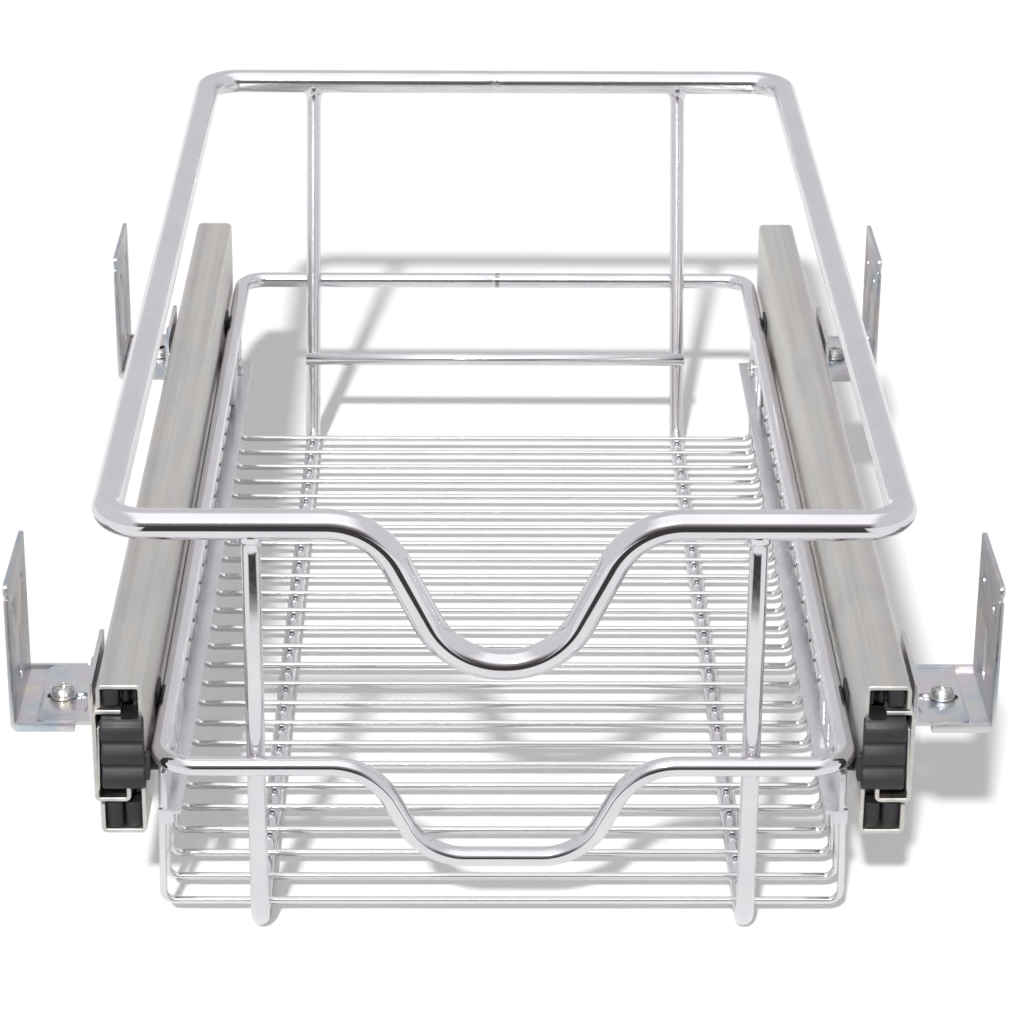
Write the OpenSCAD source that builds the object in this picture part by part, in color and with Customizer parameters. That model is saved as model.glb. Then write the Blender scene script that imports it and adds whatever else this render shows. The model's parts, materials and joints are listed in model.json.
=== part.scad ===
// Pull out wire basket for a kitchen cabinet, on two over-and-under runners.
// Millimetres. X runs across, Y to the back and Z up. The origin lies on the
// ground, under the middle of the whole assembly.

/* [Top rim] */
// Outer width of the top rim
top_w = 264; // [250:1:280]
// Outer length of the top rim
top_l = 488.5; // [470:0.5:520]
// Diameter of the top rim's rod
top_d = 10; // [8:0.5:12]
// Height of the top rim's upper side above the ground
top_h = 155; // [140:1:180]
// Bend radius of the top rim's corners, on the rod's centre line
top_corner_r = 14; // [10:1:20]
// Half width of the dip in the top rim's front, at its shoulders
top_dip_half = 57; // [52:1:66]
// Depth of that dip
top_dip = 49.5; // [40:0.5:54]
// Bend radius at the dip's shoulders
top_shoulder_r = 25; // [18:1:28]
// Bend radius at the dip's bottom
top_bottom_r = 27; // [18:1:30]
// Half length of the flat at the dip's bottom
top_flat = 0.4; // [0.2:0.1:6]

/* [Middle rim] */
// Outer width of the middle rim
mid_w = 231; // [225:0.5:231]
// Diameter of the middle rim's rod
mid_d = 6.5; // [5:0.5:8]
// Height of the middle rim's centre line above the ground
mid_h = 66.9; // [64:0.1:70]
// Bend radius of the middle rim's front corners
mid_front_r = 12; // [10:1:16]
// Bend radius of the middle rim's rear corners
mid_rear_r = 10; // [8:1:16]
// Half width of the dip in the middle rim's front, at its shoulders
mid_dip_half = 56.4; // [50:0.1:64]
// Depth of that dip
mid_dip = 33.5; // [24:0.5:40]
// Bend radius at that dip's shoulders
mid_shoulder_r = 22; // [14:1:24]
// Bend radius at that dip's bottom
mid_bottom_r = 22; // [14:1:24]
// Half length of the flat at that dip's bottom
mid_flat = 12.3; // [4:0.1:16]

/* [Hangers and floor] */
// Diameter of the two hangers, the rods that carry the floor
hanger_d = 6.2; // [5:0.1:8]
// Distance of each hanger from the middle plane
hanger_x = 80.7; // [72:0.1:92]
// Bend radius at the foot of the hangers' legs
hanger_r = 9; // [7:1:14]
// Distance from the top rim's front to the foot of the rear legs
rear_foot = 420.5; // [417:0.5:424]
// Diameter of the guard rod in front of the rear legs
guard_d = 5.5; // [4:0.1:7]
// Height of the guard rod's centre line
guard_h = 39; // [30:1:48]
// Diameter of a floor wire
wire_d = 2.5; // [2:0.1:3.5]
// Number of floor wires
wire_count = 26; // [20:1:26]
// Distance from one floor wire to the next
wire_pitch = 15.96; // [15:0.01:16]
// Distance from the top rim's front to the first floor wire
wire_first = 14.4; // [13:0.1:16]
// Bend radius where a floor wire turns up
wire_r = 4; // [3:0.5:8]
// How far the floor wires spread below the middle rim, on each side
wire_spread = 1.25; // [0:0.05:1.5]

/* [Side fittings] */
// Width of the flat side strips
strip_w = 6; // [5:0.5:8]
// Thickness of the side strips
strip_t = 1.6; // [1:0.1:2]
// Height of the side strips' upper face
strip_h = 50.5; // [48:0.5:52]
// Length of the side strips
strip_l = 398; // [360:1:400]
// Thickness of the mounting plates
plate_t = 1.6; // [1.2:0.1:2]
// Length of a front mounting plate
front_plate_l = 70; // [64:1:76]
// Length of a rear mounting plate
rear_plate_l = 48; // [40:1:56]
// Width of the slots in the mounting plates
plate_slot_w = 4.4; // [3:0.1:5]
// Diameter of the screws that hold the basket to its rails
plate_screw_d = 4; // [3:0.5:5]
// Diameter of those screws' heads
plate_head_d = 7.5; // [6.5:0.1:9]
// Thickness of those screws' heads
plate_head_t = 2.2; // [1.6:0.1:2.4]

/* [Runners] */
// Length of a runner
slide_l = 450; // [420:1:460]
// Height of a runner
slide_h = 54; // [53:0.1:55]
// Width of a runner
slide_w = 16.6; // [16:0.1:17]
// Height of the runners' underside above the ground
slide_z = 41; // [36:1:44]
// Gap between the middle rim and a runner
slide_gap = 1.1; // [0.6:0.1:3]
// Distance from the top rim's front to the runners' front
slide_front = 0.5; // [0:0.5:6]
// Sheet thickness of the cabinet and basket rails
rail_t = 1.4; // [1.2:0.1:1.5]
// Sheet thickness of the middle rails
middle_t = 1.2; // [1:0.1:1.3]
// Depth of the cabinet rail's upper flange below the runner's upper side
cabinet_drop = 9; // [8.5:0.1:10]
// Height of the cabinet rail's lower flange in the runner
cabinet_low = 11.6; // [10.5:0.1:12]
// Width of the cabinet rail's upper flange
cabinet_flange = 9.5; // [8:0.1:10]
// Width of the cabinet rail's lower flange
cabinet_ledge = 11.8; // [11:0.1:11.9]
// Height of the lip on the cabinet rail's lower flange
cabinet_lip = 5.4; // [3:0.1:8]
// How far the basket rail's outer edges lie inside the cabinet rail's face
basket_inset = 1.7; // [1.5:0.1:1.9]
// Set back of the middle rail's front, for the plastic bumper
middle_back = 9; // [8.6:0.1:12]
// Number of balls in one row
ball_count = 10; // [6:1:12]
// Distance from one ball to the next
ball_pitch = 22; // [18:0.5:23]
// Distance from the runner's front to the ball cages
cage_back = 104; // [100:1:108]

/* [Brackets] */
// Sheet thickness of the brackets
sheet_t = 1.5; // [1.2:0.1:1.6]
// Depth of a bracket, from front to back
bracket_l = 44; // [42:0.5:48]
// Distance from the front arms' ends to their wings' outer face
front_out = 8; // [2.2:0.1:11]
// Distance from the rear arms' ends to their wings' outer face
rear_out = 2.2; // [2.2:0.1:11]
// Distance from the top rim's front to the front brackets
front_bracket = 5; // [2:1:20]
// Distance from the top rim's front to the rear brackets
rear_bracket = 312; // [290:1:330]
// Depth of the arms' upper face below the cabinet rail's upper flange
arm_drop = 7.1; // [6.9:0.1:8]
// Distance from the runner's face to the end of a bracket's arm
arm_l = 18.8; // [18:0.1:20]
// Height of a bracket's tab above its arm
tab_h = 13.5; // [8:0.5:14]
// Height of a wing above the bracket's arm
wing_h = 49.3; // [46:0.1:60]
// Length of a wing's foot
foot_l = 20.6; // [18.5:0.1:20.6]
// Diameter of the clamp screws' thread
clamp_d = 4; // [3.5:0.1:4.4]
// Distance from a wing's outer face to its clamp screw
clamp_in = 15; // [14.9:0.1:15.1]
// Distance from a bracket's front to its clamp screw
clamp_back = 20; // [16:1:22]
// Diameter of the clamp screws' washers
washer_d = 8.4; // [7:0.1:8.6]
// Diameter of the clamp screws' heads
clamp_head_d = 7.4; // [6:0.1:7.6]
// Diameter of the tab screws' heads
tab_head_d = 6.5; // [5.5:0.1:6.6]
// Height of the heads of the clamp and tab screws
head_h = 2.4; // [2:0.1:3.4]
// Width of the slot in an arm
arm_slot_w = 5; // [4.6:0.1:6]
// Distance from a wing's foot to its upright slot
wing_slot_low = 5.5; // [4:0.5:10]
// Length of the upright slot in a wing
wing_slot_l = 19; // [12:0.5:22]
// Width of that slot
wing_slot_w = 5; // [4:0.1:6]
// Diameter of the two fixing holes in a wing
fix_d = 4.5; // [3.5:0.1:5.5]
// Distance between those two holes
fix_pitch = 22; // [16:0.5:28]
// Height of those holes above the arm
fix_h = 37; // [33:0.5:40]

/* [Hidden] */

$fn = 48;
LEFT = 1;
RIGHT = 0;
eps = 0.01;
// Gap left at welds and between sheets that lie on each other
weld = 0.05;
// Running gap inside the runners
run = 0.05;
// How far a cut passes the face that it opens
past = 1;
// Rods are swept rings: sides of a rod, a hanger and a wire, and the step round a bend
rod_sides = 16;
hanger_sides = 12;
wire_sides = 8;
bend_angle = 12;
wire_bend_angle = 24;

// Rims: centre lines
top_z = top_h - top_d / 2;
top_x = (top_w - top_d) / 2;
top_front = top_d / 2;
top_rear = top_l - top_d / 2;
mid_x = (mid_w - mid_d) / 2;
mid_front = top_front - (hanger_d + mid_d) / 2 - weld;

// Hangers: the rear legs lean back to the top rim's rear rod
foot_z = hanger_d / 2;
leg_lean = atan2(top_rear - rear_foot, top_z - foot_z);
function leg_y(z) = rear_foot + (z - foot_z) * tan(leg_lean);
mid_rear = leg_y(mid_h) + ((hanger_d + mid_d) / 2 + weld) / cos(leg_lean);
guard_y = leg_y(guard_h) - ((hanger_d + guard_d) / 2 + weld) / cos(leg_lean);
guard_x = hanger_x + hanger_d / 2;

// The whole assembly reaches from the middle rim's front to the top rim's rear
front_most = mid_front - mid_d / 2;
middle_y = (front_most + top_l) / 2;

// Floor wires
wire_z = hanger_d + wire_d / 2 + weld;
wire_top_z = mid_h - mid_d / 2 - weld;
wire_low_x = mid_x + wire_spread;
function wire_y(i) = wire_first + i * wire_pitch;
function wire_x(z) = mid_x + wire_spread * (wire_top_z - z) / (wire_top_z - wire_z);

// Side strips lie against the wires' inner sides, the plates stand on them
strip_out = wire_x(strip_h) - wire_d / 2 - weld;
strip_front = -1;
flap_out = 1.4;
flap_w = 5;
flap_h = 5;
plate_out = strip_out;
plate_low = strip_h + weld;
plate_top = mid_h - sqrt(pow(mid_d / 2, 2) - pow(mid_x - plate_out, 2)) - weld;
plate_mid = (plate_low + plate_top) / 2;
plate_back = 2;
rear_plate_end = strip_front + strip_l - plate_back;
plate_slot_side = 1.6;
// The screws sit between two wires: behind the first, and behind this many
before_screw_count = 23;
front_screw_y = wire_y(0) + wire_pitch / 2;
rear_screw_y = wire_y(before_screw_count - 1) + wire_pitch / 2;
// Plastic spacers between a plate and a basket rail
spacer_d = 8;
pad_back = 20;
pad_l = 12;
pad_up = 4;

// Runners: u counts from the outer face inwards, v from the underside up
slide_in = mid_w / 2 + slide_gap;
slide_out = slide_in + slide_w;
slide_rear = slide_front + slide_l;
cabinet_top = slide_h - cabinet_drop;
top_gap = (slide_h - rail_t - cabinet_top - middle_t) / 2;
low_gap = (cabinet_low - rail_t - middle_t) / 2;
web_gap = 1.2;
middle_web = slide_w - rail_t - web_gap - middle_t;
flange_u = 4;
lip_gap = 1;

// Ball rows between two rails: the height of the space in v, and the gap that the balls fill
ball_u = 6.5;
cage_u = 5.6;
cage_l = ball_count * ball_pitch;
cage_share = 0.4;
inner_rows = [[cabinet_top, top_gap], [cabinet_low - low_gap, low_gap]];
outer_rows = [[slide_h - rail_t - top_gap, top_gap], [rail_t, low_gap]];

// Plastic at the front of a basket rail: a block with ribs and a nub, and two plugs
plug_gap = 0.2;
plug_back = 1;
bumper_low_gap = 0.6;
bumper_high_gap = 0.4;
bumper_back_gap = 0.7;
bumper_low = cabinet_low + cabinet_lip + bumper_low_gap;
bumper_high = cabinet_top - rail_t - bumper_high_gap;
bumper_back = middle_back - bumper_back_gap;
rib_reach = 4.6;
rib_count = 3;
rib_pitch = (bumper_high - bumper_low) / rib_count;
rib_lap = 0.3;
rib_side = 0.4;
rib_end = 1.3;
nub_l = 1.9;
nub_h = 10;
nub_reach = 3.2;

// Brackets: heights, and the reach of the wings from the middle plane
arm_h = slide_z + cabinet_top - arm_drop;
front_reach = slide_out + arm_l + front_out;
rear_reach = slide_out + arm_l + rear_out;
foot_top = arm_h - sheet_t - weld;
foot_low = foot_top - sheet_t;
slot_play = 0.3;
arm_side = sheet_t + slot_play;
slot_end = 1.7;
slot_in = rear_reach - clamp_in - clamp_d / 2 - slot_play;
slot_out = slide_out + arm_l - slot_end;
tab_screw_back = 36;
head_gap = 0.25;
tab_screw_z = arm_h + tab_head_d / 2 + head_gap;
screw_gap = 0.1;
gusset_r = 2.4;
gusset_back = 8;
washer_t = 1;
thread_past = 1;
// Small notch in the front edge of a wing
nick = 2.4;
nick_low = 6;

// ---------- shared shapes ----------

// Everything is drawn with Y counted from the top rim's front
module placed() translate([0, -middle_y, 0]) children();

// The fittings are drawn on the right, and mirrored for the left
module on_side(side) placed() mirror([side, 0, 0]) children();

function unit(v) = v / norm(v);
function turn(a, b, c) = acos(unit(b - a) * unit(c - b));

// Places and directions along the bend of radius r, where a path from a to c turns at b
function bend_stations(a, b, c, r, step) =
  let (angle = turn(a, b, c), along = unit(b - a), steps = ceil(angle / step),
    inward = unit(unit(c - b) - along * (along * unit(c - b))),
    centre = b - along * r * tan(angle / 2) + inward * r)
  [for (t = [for (k = [0 : steps]) angle * k / steps])
    [centre + r * (along * sin(t) - inward * cos(t)), along * cos(t) + inward * sin(t)]];

// Rod along the points p, bent to the radius r[i] at each point. An open rod's ends
// have r = 0. The path never runs along the direction aside.
module rod(p, r, d, sides, aside, closed = false, step = bend_angle) {
  n = len(p);
  function at(i) = p[(i + n) % n];
  stations = [for (i = [0 : n - 1])
    each r[i] > 0 ? bend_stations(at(i - 1), at(i), at(i + 1), r[i], step)
      : [[p[i], unit(i == 0 ? p[1] - p[0] : p[i] - p[i - 1])]]];
  m = len(stations);
  points = [for (s = stations)
    let (out = unit(cross(s[1], aside)), up = cross(out, s[1]))
    for (k = [0 : sides - 1])
      s[0] + d / 2 * (out * cos(360 * k / sides) + up * sin(360 * k / sides))];
  skin = [for (i = [0 : closed ? m - 1 : m - 2], k = [0 : sides - 1])
    let (a = i * sides + k, b = i * sides + (k + 1) % sides, next = ((i + 1) % m - i) * sides)
    each [[a, b, b + next], [a, b + next, a + next]]];
  ends = closed ? [] : [[for (k = [sides - 1 : -1 : 0]) k], [for (k = [0 : sides - 1]) (m - 1) * sides + k]];
  polyhedron(points, concat(skin, ends));
}

// Slope of a dip whose two bends have radii that add up to r
function dip_slope(half, drop, r) =
  asin(r / norm([half, r - drop])) - atan2(r - drop, half);
// Share of its bend radii that a dip has room for
function dip_room(half, drop, r) =
  min(1, 0.98 * (pow(half, 2) + pow(drop, 2)) / (2 * drop) / r);

// Closed rim with four corners and a dip in its front
module rim(x, front, rear, z, d, front_r, rear_r, half, flat, drop, shoulder_r, bottom_r) {
  share = dip_room(half - flat, drop, shoulder_r + bottom_r);
  upper = shoulder_r * share;
  lower = bottom_r * share;
  slope = dip_slope(half - flat, drop, upper + lower);
  shoulder_x = half - upper * tan(slope / 2);
  bottom_x = flat + lower * tan(slope / 2);
  rod([[-x, rear, z], [-x, front, z],
      [-shoulder_x, front, z], [-bottom_x, front, z - drop], [bottom_x, front, z - drop],
      [shoulder_x, front, z], [x, front, z], [x, rear, z]],
    [rear_r, front_r, upper, lower, lower, upper, front_r, rear_r], d, rod_sides, [0, 0, 1], closed = true);
}

// Block given by its lowest and highest corners
module block(low, high) translate(low) cube(high - low);

// Long bar of a runner, in the runner's own u and v
module bar(u, v, from = slide_front, to = slide_rear)
  block([slide_out - u[1], from, slide_z + v[0]], [slide_out - u[0], to, slide_z + v[1]]);

// Slot with round ends for cutting, l long over all along X and d wide
module slot(l, d, h) linear_extrude(h) {
  for (x = [-(l - d) / 2, (l - d) / 2])
    translate([x, 0]) circle(d = d);
  square([l - d, d], center = true);
}

// Pan head screw along +Z, its head's seat at z = 0
module pan_screw(head, high, thread, long) {
  rim_h = high * 0.55;
  top_d = head * 0.72;
  cross_l = head * 0.6;
  cross_w = head / 6;
  difference() {
    union() {
      cylinder(d = head, h = rim_h);
      translate([0, 0, rim_h]) cylinder(d1 = head, d2 = top_d, h = high - rim_h);
      translate([0, 0, -long]) cylinder(d = thread, h = long);
    }
    for (angle = [0, 90])
      rotate(angle) translate([-cross_l / 2, -cross_w / 2, rim_h]) cube([cross_l, cross_w, high]);
  }
}

// ---------- basket ----------

module top_rim() color("gainsboro") placed()
  rim(top_x, top_front, top_rear, top_z, top_d, top_corner_r, top_corner_r,
    top_dip_half, top_flat, top_dip, top_shoulder_r, top_bottom_r);

module mid_rim() color("gainsboro") placed()
  rim(mid_x, mid_front, mid_rear, mid_h, mid_d, mid_front_r, mid_rear_r,
    mid_dip_half, mid_flat, mid_dip, mid_shoulder_r, mid_bottom_r);

// Hanger: front leg, floor run and leaning rear leg, up to the top rim's rods
module hanger(side) color("silver") on_side(side) {
  foot = [hanger_x, rear_foot, foot_z];
  rear_rod = [hanger_x, top_rear, top_z];
  seat = top_d / 2 + weld;
  rod([[hanger_x, top_front, top_z - seat], [hanger_x, top_front, foot_z], foot,
      rear_rod - unit(rear_rod - foot) * seat],
    [0, hanger_r, hanger_r, 0], hanger_d, hanger_sides, [1, 0, 0]);
}
module left_hanger() hanger(LEFT);
module right_hanger() hanger(RIGHT);

module rear_guard_rod() color("silver") placed()
  translate([-guard_x, guard_y, guard_h]) rotate([0, 90, 0]) cylinder(d = guard_d, h = 2 * guard_x);

module floor_wires() color("whitesmoke") placed()
  for (i = [0 : wire_count - 1])
    translate([0, wire_y(i), 0])
      rod([[-mid_x, 0, wire_top_z], [-wire_low_x, 0, wire_z],
          [wire_low_x, 0, wire_z], [mid_x, 0, wire_top_z]],
        [0, wire_r, wire_r, 0], wire_d, wire_sides, [0, 1, 0], step = wire_bend_angle);

// Flat strip with a short flap turned down at its front end
module side_strip(side) color("lavender") on_side(side) union() {
  block([strip_out - strip_w, strip_front, strip_h - strip_t], [strip_out, strip_front + strip_l, strip_h]);
  block([strip_out + flap_out - flap_w, strip_front, strip_h - flap_h],
    [strip_out + flap_out, strip_front + strip_t, strip_h]);
}
module left_side_strip() side_strip(LEFT);
module right_side_strip() side_strip(RIGHT);

// Upright slot in a mounting plate
module plate_slot(y)
  translate([plate_out - plate_t - past, y, plate_mid]) rotate([0, 90, 0])
    slot(plate_top - plate_low - 2 * plate_slot_side, plate_slot_w, plate_t + 2 * past);

// Mounting plate between a side strip and the middle rim
module mounting_plate(from, to, screw_y, slots) difference() {
  block([plate_out - plate_t, from, plate_low], [plate_out, to, plate_top]);
  translate([plate_out - plate_t - past, screw_y, plate_mid]) rotate([0, 90, 0])
    cylinder(d = plate_screw_d + 2 * screw_gap, h = plate_t + 2 * past);
  for (y = slots)
    plate_slot(y);
}
module front_plate(side) color("lavender") on_side(side)
  mounting_plate(strip_front, strip_front + front_plate_l, front_screw_y,
    [front_screw_y + wire_pitch, front_screw_y + 2 * wire_pitch]);
module rear_plate(side) color("lavender") on_side(side)
  mounting_plate(rear_plate_end - rear_plate_l, rear_plate_end, rear_screw_y, [rear_screw_y - wire_pitch]);
module front_left_plate() front_plate(LEFT);
module front_right_plate() front_plate(RIGHT);
module rear_left_plate() rear_plate(LEFT);
module rear_right_plate() rear_plate(RIGHT);

// Screws from the plates' inner side into the basket rail
module plate_screws(side) color("silver") on_side(side)
  for (y = [front_screw_y, rear_screw_y])
    translate([plate_out - plate_t - weld, y, plate_mid]) rotate([0, -90, 0])
      pan_screw(plate_head_d, plate_head_t, plate_screw_d, slide_in + rail_t - plate_out + plate_t);
module left_plate_screws() plate_screws(LEFT);
module right_plate_screws() plate_screws(RIGHT);

// Plastic spacers: a sleeve round each screw, and a bar behind it with a tongue between rim and rail
module rail_spacers(side) color("dimgray") on_side(side)
  for (y = [front_screw_y, rear_screw_y])
    difference() {
      union() {
        translate([plate_out + weld, y, plate_mid]) rotate([0, 90, 0])
          cylinder(d = spacer_d, h = slide_in - plate_out - 2 * weld);
        block([slide_in - slide_gap + weld, y, plate_mid - spacer_d / 2],
          [slide_in - weld, y + pad_back + pad_l, plate_mid + spacer_d / 2]);
        block([slide_in - slide_gap + weld, y + pad_back, plate_mid - spacer_d / 2],
          [slide_in - weld, y + pad_back + pad_l, mid_h + pad_up]);
      }
      translate([plate_out, y, plate_mid]) rotate([0, 90, 0])
        cylinder(d = plate_screw_d + 2 * screw_gap, h = slide_in - plate_out);
    }
module left_rail_spacers() rail_spacers(LEFT);
module right_rail_spacers() rail_spacers(RIGHT);

// ---------- runners ----------

// Basket rail: a channel that wraps round the other rails from the inner side
module basket_rail(side) color("darkgray") on_side(side) difference() {
  union() {
    bar([slide_w - rail_t, slide_w], [0, slide_h]);
    bar([basket_inset, slide_w], [slide_h - rail_t, slide_h]);
    bar([basket_inset, slide_w], [0, rail_t]);
    bar([basket_inset, basket_inset + rail_t], [cabinet_top + lip_gap, slide_h]);
    bar([basket_inset, basket_inset + rail_t], [0, cabinet_low - lip_gap]);
  }
  for (y = [front_screw_y, rear_screw_y])
    translate([slide_in - past, y, plate_mid]) rotate([0, 90, 0])
      cylinder(d = plate_screw_d + 2 * screw_gap, h = rail_t + 2 * past);
}
module left_basket_rail() basket_rail(LEFT);
module right_basket_rail() basket_rail(RIGHT);

// Cabinet rail: an open channel with a lipped lower flange
module cabinet_rail(side) color("darkgray") on_side(side) difference() {
  union() {
    bar([0, rail_t], [cabinet_low, cabinet_top]);
    bar([0, cabinet_flange], [cabinet_top - rail_t, cabinet_top]);
    bar([0, cabinet_ledge], [cabinet_low, cabinet_low + rail_t]);
    bar([cabinet_ledge - rail_t, cabinet_ledge], [cabinet_low, cabinet_low + cabinet_lip]);
  }
  for (y = [front_bracket, rear_bracket])
    translate([slide_out - rail_t - past, y + tab_screw_back, tab_screw_z]) rotate([0, 90, 0])
      cylinder(d = clamp_d + 2 * screw_gap, h = rail_t + 2 * past);
}
module left_cabinet_rail() cabinet_rail(LEFT);
module right_cabinet_rail() cabinet_rail(RIGHT);

// Middle rail: a web with two flanges between the ball rows
module middle_rail(side) color("silver") on_side(side) {
  from = slide_front + middle_back;
  bar([middle_web, middle_web + middle_t],
    [rail_t + low_gap, cabinet_top + top_gap + middle_t], from);
  bar([flange_u, middle_web + eps],
    [cabinet_top + top_gap, cabinet_top + top_gap + middle_t], from);
  bar([flange_u, middle_web + eps],
    [rail_t + low_gap, rail_t + low_gap + middle_t], from);
}
module left_middle_rail() middle_rail(LEFT);
module right_middle_rail() middle_rail(RIGHT);

module at_balls(row)
  for (i = [0 : ball_count - 1])
    translate([slide_out - ball_u, slide_front + cage_back + (i + 0.5) * ball_pitch,
        slide_z + row[0] + row[1] / 2])
      children();

// Plastic strips that keep the balls apart
module cages(side, rows) color("dimgray") on_side(side)
  for (row = rows)
    difference() {
      bar([ball_u - cage_u / 2, ball_u + cage_u / 2],
        [row[0] + row[1] * (1 - cage_share) / 2, row[0] + row[1] * (1 + cage_share) / 2],
        slide_front + cage_back, slide_front + cage_back + cage_l);
      at_balls(row) cylinder(d = row[1] + 4 * run, h = row[1], center = true);
    }
module balls(side, rows) color("white") on_side(side)
  for (row = rows)
    at_balls(row) sphere(d = row[1] - 2 * run, $fn = 24);
module left_inner_cages() cages(LEFT, inner_rows);
module right_inner_cages() cages(RIGHT, inner_rows);
module left_inner_balls() balls(LEFT, inner_rows);
module right_inner_balls() balls(RIGHT, inner_rows);
module left_outer_cages() cages(LEFT, outer_rows);
module right_outer_cages() cages(RIGHT, outer_rows);
module left_outer_balls() balls(LEFT, outer_rows);
module right_outer_balls() balls(RIGHT, outer_rows);

// Plastic bumper on the basket rail's front: three ribs, a plug and a nub
module front_bumper(side) color("dimgray") on_side(side) {
  face = slide_front - weld;
  bar([basket_inset + rail_t, slide_w - rail_t - plug_gap], [bumper_low, bumper_high],
    face - eps, slide_front + bumper_back);
  intersection() {
    for (i = [0 : rib_count - 1])
      translate([slide_in - rib_side, face, slide_z + bumper_low + (i + 0.5) * rib_pitch])
        rotate([0, 90, 0])
          cylinder(r = rib_pitch / 2 + rib_lap, h = slide_w - basket_inset - rib_end + rib_side);
    bar([basket_inset, slide_w + past], [bumper_low, bumper_high], face - rib_reach, face);
  }
  block([slide_in - nub_l, face - nub_reach, mid_h - nub_h / 2], [slide_in, face, mid_h + nub_h / 2]);
}
module left_front_bumper() front_bumper(LEFT);
module right_front_bumper() front_bumper(RIGHT);

// Plastic plugs in the basket rail's upper and lower hollows
module end_plugs(side) color("dimgray") on_side(side) {
  u = [basket_inset + rail_t + plug_gap, slide_w - rail_t - plug_gap];
  from = slide_front + plug_back;
  to = slide_front + bumper_back;
  bar(u, [cabinet_top + lip_gap, slide_h - rail_t - weld], from, to);
  bar(u, [rail_t + weld, cabinet_low - lip_gap], from, to);
}
module left_end_plugs() end_plugs(LEFT);
module right_end_plugs() end_plugs(RIGHT);

// ---------- brackets ----------

// Bracket: a tab on the cabinet rail, an arm with a slot and a small gusset
module bracket(side, at) color("lightsteelblue") on_side(side) {
  from = at + arm_side;
  to = at + bracket_l - arm_side;
  difference() {
    union() {
      block([slide_out + weld, from, arm_h - sheet_t], [slide_out + arm_l, to, arm_h]);
      block([slide_out + weld, from, arm_h - sheet_t], [slide_out + sheet_t, to, arm_h + tab_h]);
      translate([slide_out + sheet_t, from + gusset_back, arm_h]) rotate([0, 0, 90])
        cylinder(r1 = gusset_r, r2 = gusset_r / 3, h = gusset_r);
    }
    block([slide_out - past, from + gusset_back - gusset_r, arm_h - sheet_t - past],
      [slide_out + weld, from + gusset_back + gusset_r, arm_h + tab_h]);
    translate([(slot_in + slot_out) / 2, at + clamp_back, arm_h - sheet_t - past])
      slot(slot_out - slot_in, arm_slot_w, sheet_t + 2 * past);
    translate([slide_out - past, at + tab_screw_back, tab_screw_z]) rotate([0, 90, 0])
      cylinder(d = clamp_d + 2 * screw_gap, h = sheet_t + 2 * past);
  }
}
module front_left_bracket() bracket(LEFT, front_bracket);
module front_right_bracket() bracket(RIGHT, front_bracket);
module rear_left_bracket() bracket(LEFT, rear_bracket);
module rear_right_bracket() bracket(RIGHT, rear_bracket);

// Screws that hold the tabs to the cabinet rail
module tab_screws(side) color("silver") on_side(side)
  for (at = [front_bracket, rear_bracket])
    translate([slide_out + sheet_t + weld, at + tab_screw_back, tab_screw_z]) rotate([0, 90, 0])
      pan_screw(tab_head_d, head_h, clamp_d, sheet_t + rail_t);
module left_tab_screws() tab_screws(LEFT);
module right_tab_screws() tab_screws(RIGHT);

// Wing: a foot with two upturned sides under the arm, and a tall plate with fixing holes
module wing(side, at, reach) color("lightsteelblue") on_side(side) {
  inner = reach - foot_l;
  middle = at + bracket_l / 2;
  slot_z = arm_h + wing_slot_low + wing_slot_l / 2;
  difference() {
    union() {
      block([inner, at, foot_low], [reach, at + bracket_l, foot_top]);
      block([inner, at, foot_low], [reach, at + sheet_t, arm_h]);
      block([inner, at + bracket_l - sheet_t, foot_low], [reach, at + bracket_l, arm_h]);
      block([reach - sheet_t, at, foot_low], [reach, at + bracket_l, arm_h + wing_h]);
    }
    translate([reach - clamp_in, at + clamp_back, foot_low - past])
      cylinder(d = clamp_d + 2 * screw_gap, h = sheet_t + 2 * past);
    for (y = [middle - fix_pitch / 2, middle + fix_pitch / 2])
      translate([reach - sheet_t - past, y, arm_h + fix_h]) rotate([0, 90, 0])
        cylinder(d = fix_d, h = sheet_t + 2 * past);
    translate([reach - sheet_t - past, middle, slot_z]) rotate([0, 90, 0])
      slot(wing_slot_l, wing_slot_w, sheet_t + 2 * past);
    block([reach - sheet_t - past, at - past, arm_h + wing_h - nick_low],
      [reach + past, at + nick, arm_h + wing_h - nick_low + nick]);
  }
}
module front_left_wing() wing(LEFT, front_bracket, front_reach);
module front_right_wing() wing(RIGHT, front_bracket, front_reach);
module rear_left_wing() wing(LEFT, rear_bracket, rear_reach);
module rear_right_wing() wing(RIGHT, rear_bracket, rear_reach);

// Clamp screw through the arm's slot into the wing's foot, on its washer
module clamp_screw(side, at, reach) color("silver") on_side(side)
  translate([reach - clamp_in, at + clamp_back, arm_h + washer_t + 2 * weld])
    pan_screw(clamp_head_d, head_h, clamp_d, arm_h + washer_t - foot_low + thread_past);
module front_left_clamp_screw() clamp_screw(LEFT, front_bracket, front_reach);
module front_right_clamp_screw() clamp_screw(RIGHT, front_bracket, front_reach);
module rear_left_clamp_screw() clamp_screw(LEFT, rear_bracket, rear_reach);
module rear_right_clamp_screw() clamp_screw(RIGHT, rear_bracket, rear_reach);

module washer(side, at, reach) color("silver") on_side(side)
  translate([reach - clamp_in, at + clamp_back, arm_h + weld]) difference() {
    cylinder(d = washer_d, h = washer_t);
    translate([0, 0, -past]) cylinder(d = clamp_d + 2 * screw_gap, h = washer_t + 2 * past);
  }
module front_left_washer() washer(LEFT, front_bracket, front_reach);
module front_right_washer() washer(RIGHT, front_bracket, front_reach);
module rear_left_washer() washer(LEFT, rear_bracket, rear_reach);
module rear_right_washer() washer(RIGHT, rear_bracket, rear_reach);

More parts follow.
